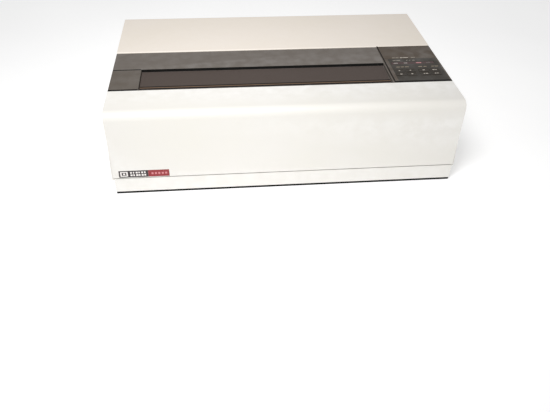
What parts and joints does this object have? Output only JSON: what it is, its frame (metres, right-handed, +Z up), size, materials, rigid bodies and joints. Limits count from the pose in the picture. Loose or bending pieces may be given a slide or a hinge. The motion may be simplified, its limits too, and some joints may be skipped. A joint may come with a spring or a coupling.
{
  "type": "printer",
  "caption": "Wide-carriage impact printer: cream case with hinged front and rear covers, smoked lid, key panel, and a working carriage, platen and paper tractors.",
  "frame": {"origin": "centre of the footprint at the surface the feet stand on", "axes": "+X to the right along the width, -Y out of the front face, +Z up"},
  "size_m": [0.648, 0.42, 0.1704],
  "materials": {
    "cream_case": "cream textured moulding",
    "dark_trim": "grey-brown moulding",
    "smoked_lid": "smoked, satin",
    "panel_dark": "dark grey-brown moulding",
    "key_dark": "fine matt",
    "lens": "dark tinted window",
    "badge": "plain two-colour plate",
    "rubber": "matt black",
    "steel": "ground bar",
    "zinc_sheet": "zinc-plated sheet",
    "brass": "turned",
    "cast": "cast and machined",
    "black_plastic": "moulded",
    "natural_plastic": "unpigmented acetal",
    "circuit_board": "solder-mask green",
    "core_steel": "varnished laminations"
  },
  "bodies": {
    "chassis": {"lower_case": "cream_case", "top_trim": "dark_trim", "control_panel": "panel_dark", "indicator_lens": "lens", "foot_front_left": "rubber", "foot_front_right": "rubber", "foot_rear_left": "rubber", "foot_rear_right": "rubber", "carriage_belt": "rubber", "front_rail": "steel", "rear_rail": "steel", "tractor_rail": "steel", "mechanism_tray": "zinc_sheet", "side_frame_left": "zinc_sheet", "side_frame_right": "zinc_sheet", "lid_hinge_rod": "brass", "carriage_motor": "cast", "feed_motor": "cast", "interface_connector": "black_plastic", "mains_inlet": "black_plastic", "main_board": "circuit_board", "keypad_board": "circuit_board", "power_transformer": "core_steel"},
    "front_cover": {"front_cover": "cream_case", "badge_plate": "badge"},
    "paper_lid": {"paper_lid": "smoked_lid"},
    "rear_cover": {"rear_cover": "cream_case"},
    "key_1": {"key_1": "key_dark"},
    "key_2": {"key_2": "key_dark"},
    "key_3": {"key_3": "key_dark"},
    "key_4": {"key_4": "key_dark"},
    "key_5": {"key_5": "key_dark"},
    "key_6": {"key_6": "key_dark"},
    "key_7": {"key_7": "key_dark"},
    "key_8": {"key_8": "key_dark"},
    "carriage": {"carriage": "black_plastic", "print_head": "cast", "ribbon_cartridge": "black_plastic"},
    "ribbon_knob": {"ribbon_knob": "natural_plastic"},
    "drive_pulley": {"drive_pulley": "natural_plastic"},
    "idler_pulley": {"idler_pulley": "natural_plastic"},
    "platen": {"platen_shaft": "steel", "platen_roller": "rubber", "platen_gear": "natural_plastic"},
    "feed_pinion": {"feed_pinion": "brass"},
    "feed_idler": {"feed_idler_gear": "natural_plastic"},
    "tractor_drive": {"tractor_shaft": "steel", "tractor_gear": "natural_plastic"},
    "tractor_left": {"tractor_left": "black_plastic"},
    "pin_wheel_left": {"pin_wheel_left": "natural_plastic"},
    "tractor_door_left": {"tractor_door_left": "black_plastic"},
    "tractor_right": {"tractor_right": "black_plastic"},
    "pin_wheel_right": {"pin_wheel_right": "natural_plastic"},
    "tractor_door_right": {"tractor_door_right": "black_plastic"},
    "paper_bail": {"paper_bail": "steel"},
    "bail_roller_1": {"bail_roller_1": "rubber"},
    "bail_roller_2": {"bail_roller_2": "rubber"},
    "bail_roller_3": {"bail_roller_3": "rubber"},
    "power_rocker": {"power_rocker": "black_plastic"}
  },
  "joints": [
    {"name": "front_cover_hinge", "type": "hinge", "parent": "chassis", "child": "front_cover", "pos_m": [0, -0.202, 0.049], "axis": [1, 0, 0], "range_deg": [0, 80]},
    {"name": "paper_lid_hinge", "type": "hinge", "parent": "chassis", "child": "paper_lid", "pos_m": [0, -0.1215, 0.1625], "axis": [1, 0, 0], "range_deg": [0, 95]},
    {"name": "rear_cover_hinge", "type": "hinge", "parent": "chassis", "child": "rear_cover", "pos_m": [0, 0.2072, 0.12475], "axis": [-1, 0, 0], "range_deg": [0, 70]},
    {"name": "key_1_press", "type": "slide", "parent": "chassis", "child": "key_1", "axis": [0, 0, -1], "range_m": [0, 0.0012], "stiffness_N_per_m": 400},
    {"name": "key_2_press", "type": "slide", "parent": "chassis", "child": "key_2", "axis": [0, 0, -1], "range_m": [0, 0.0012], "stiffness_N_per_m": 400},
    {"name": "key_3_press", "type": "slide", "parent": "chassis", "child": "key_3", "axis": [0, 0, -1], "range_m": [0, 0.0012], "stiffness_N_per_m": 400},
    {"name": "key_4_press", "type": "slide", "parent": "chassis", "child": "key_4", "axis": [0, 0, -1], "range_m": [0, 0.0012], "stiffness_N_per_m": 400},
    {"name": "key_5_press", "type": "slide", "parent": "chassis", "child": "key_5", "axis": [0, 0, -1], "range_m": [0, 0.0012], "stiffness_N_per_m": 400},
    {"name": "key_6_press", "type": "slide", "parent": "chassis", "child": "key_6", "axis": [0, 0, -1], "range_m": [0, 0.0012], "stiffness_N_per_m": 400},
    {"name": "key_7_press", "type": "slide", "parent": "chassis", "child": "key_7", "axis": [0, 0, -1], "range_m": [0, 0.0012], "stiffness_N_per_m": 400},
    {"name": "key_8_press", "type": "slide", "parent": "chassis", "child": "key_8", "axis": [0, 0, -1], "range_m": [0, 0.0012], "stiffness_N_per_m": 400},
    {"name": "carriage_slide", "type": "slide", "parent": "chassis", "child": "carriage", "axis": [1, 0, 0], "range_m": [0, 0.351]},
    {"name": "ribbon_knob_turn", "type": "hinge", "parent": "carriage", "child": "ribbon_knob", "pos_m": [-0.175, -0.096, 0.1525], "axis": [0, 0, 1], "continuous": true},
    {"name": "drive_pulley_spin", "type": "hinge", "parent": "chassis", "child": "drive_pulley", "pos_m": [0.181, -0.097, 0.058], "axis": [0, 0, 1], "continuous": true},
    {"name": "idler_pulley_spin", "type": "hinge", "parent": "chassis", "child": "idler_pulley", "pos_m": [-0.24, -0.097, 0.058], "axis": [0, 0, 1], "continuous": true},
    {"name": "platen_spin", "type": "hinge", "parent": "chassis", "child": "platen", "pos_m": [0, -0.026, 0.112], "axis": [1, 0, 0], "continuous": true},
    {"name": "feed_pinion_spin", "type": "hinge", "parent": "chassis", "child": "feed_pinion", "pos_m": [0, -0.01823, 0.08302], "axis": [1, 0, 0], "continuous": true},
    {"name": "feed_idler_spin", "type": "hinge", "parent": "chassis", "child": "feed_idler", "pos_m": [0, 0.01613, 0.10635], "axis": [1, 0, 0], "continuous": true},
    {"name": "tractor_drive_spin", "type": "hinge", "parent": "chassis", "child": "tractor_drive", "pos_m": [0, 0.052, 0.121], "axis": [1, 0, 0], "continuous": true},
    {"name": "tractor_left_slide", "type": "slide", "parent": "chassis", "child": "tractor_left", "axis": [1, 0, 0], "range_m": [-0.025, 0.12]},
    {"name": "tractor_right_slide", "type": "slide", "parent": "chassis", "child": "tractor_right", "axis": [1, 0, 0], "range_m": [-0.12, 0.025]},
    {"name": "pin_wheel_left_spin", "type": "hinge", "parent": "tractor_left", "child": "pin_wheel_left", "pos_m": [0, 0.052, 0.121], "axis": [1, 0, 0], "continuous": true},
    {"name": "pin_wheel_right_spin", "type": "hinge", "parent": "tractor_right", "child": "pin_wheel_right", "pos_m": [0, 0.052, 0.121], "axis": [1, 0, 0], "continuous": true},
    {"name": "tractor_door_left_hinge", "type": "hinge", "parent": "tractor_left", "child": "tractor_door_left", "pos_m": [-0.2275, 0.052, 0.14077], "axis": [0, -1, 0], "range_deg": [0, 90]},
    {"name": "tractor_door_right_hinge", "type": "hinge", "parent": "tractor_right", "child": "tractor_door_right", "pos_m": [0.1685, 0.052, 0.14077], "axis": [0, 1, 0], "range_deg": [0, 90]},
    {"name": "paper_bail_hinge", "type": "hinge", "parent": "chassis", "child": "paper_bail", "pos_m": [0, -0.078, 0.112], "axis": [1, 0, 0], "range_deg": [0, 28]},
    {"name": "bail_roller_1_spin", "type": "hinge", "parent": "paper_bail", "child": "bail_roller_1", "pos_m": [0, -0.0417, 0.1308], "axis": [1, 0, 0], "continuous": true},
    {"name": "bail_roller_2_spin", "type": "hinge", "parent": "paper_bail", "child": "bail_roller_2", "pos_m": [0, -0.0417, 0.1308], "axis": [1, 0, 0], "continuous": true},
    {"name": "bail_roller_3_spin", "type": "hinge", "parent": "paper_bail", "child": "bail_roller_3", "pos_m": [0, -0.0417, 0.1308], "axis": [1, 0, 0], "continuous": true},
    {"name": "power_rocker_hinge", "type": "hinge", "parent": "chassis", "child": "power_rocker", "pos_m": [0.245, 0.2055, 0.043], "axis": [1, 0, 0], "range_deg": [0, 14]}
  ],
  "couplings": [
    {"joint": "drive_pulley_spin", "follows": "carriage_slide", "rad_per_m": 78.431},
    {"joint": "idler_pulley_spin", "follows": "carriage_slide", "rad_per_m": 78.431},
    {"joint": "feed_pinion_spin", "follows": "platen_spin", "ratio": -3},
    {"joint": "feed_idler_spin", "follows": "platen_spin", "ratio": -1.125},
    {"joint": "tractor_drive_spin", "follows": "platen_spin", "ratio": 1.2},
    {"joint": "pin_wheel_left_spin", "follows": "platen_spin", "ratio": 1.2},
    {"joint": "pin_wheel_right_spin", "follows": "platen_spin", "ratio": 1.2}
  ]
}
